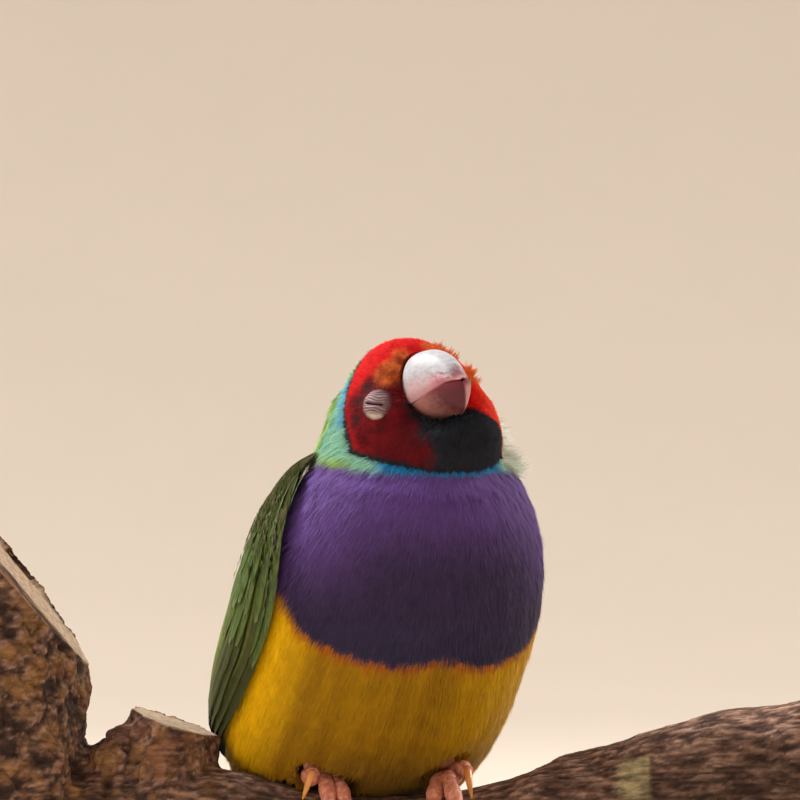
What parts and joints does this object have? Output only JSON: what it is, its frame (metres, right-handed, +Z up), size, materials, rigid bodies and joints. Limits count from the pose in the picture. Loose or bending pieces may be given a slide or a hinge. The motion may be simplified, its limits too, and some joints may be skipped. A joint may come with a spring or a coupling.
{
  "type": "gouldian finch on a branch, on a display stand",
  "caption": "Life-size Gouldian finch with a red face, fluffed up and asleep on a cut length of gnarled branch, held over a flat base by short rods.",
  "frame": {"origin": "middle of the base's underside", "axes": "+Z up, +X along the branch towards the bird's left, -Y towards the viewer, and the breast turned 25 degrees from -Y to +X"},
  "size_m": [0.1175, 0.0852, 0.127],
  "materials": {
    "plumage_head": "soft matt feathers, red with a black chin",
    "plumage_collar": "soft matt feathers, turquoise to blue",
    "plumage_body": "soft matt feathers, violet breast and yellow belly",
    "plumage_wing": "smooth feathers, olive green",
    "plumage_tail": "smooth feathers, black with a pale blue root",
    "bill_horn": "satin horn, ivory with a crimson tip",
    "eyelid": "dark and slightly moist",
    "foot_skin": "satin scaled skin",
    "bark": "rough bark with sawn ends",
    "base_wood": "dark stained, satin",
    "rod_steel": "brushed"
  },
  "bodies": {
    "root": {"head": "plumage_head", "bill_upper": "bill_horn", "bill_lower": "bill_horn", "eye_right": "eyelid", "eye_left": "eyelid", "neck": "plumage_collar", "torso": "plumage_body", "tail": "plumage_tail", "wing_right": "plumage_wing", "wing_left": "plumage_wing", "leg_right": "foot_skin", "leg_left": "foot_skin", "foot_right": "foot_skin", "foot_left": "foot_skin", "perch_branch": "bark", "stand_base": "base_wood", "stand_rod_1": "rod_steel", "stand_rod_2": "rod_steel"}
  },
  "joints": []
}
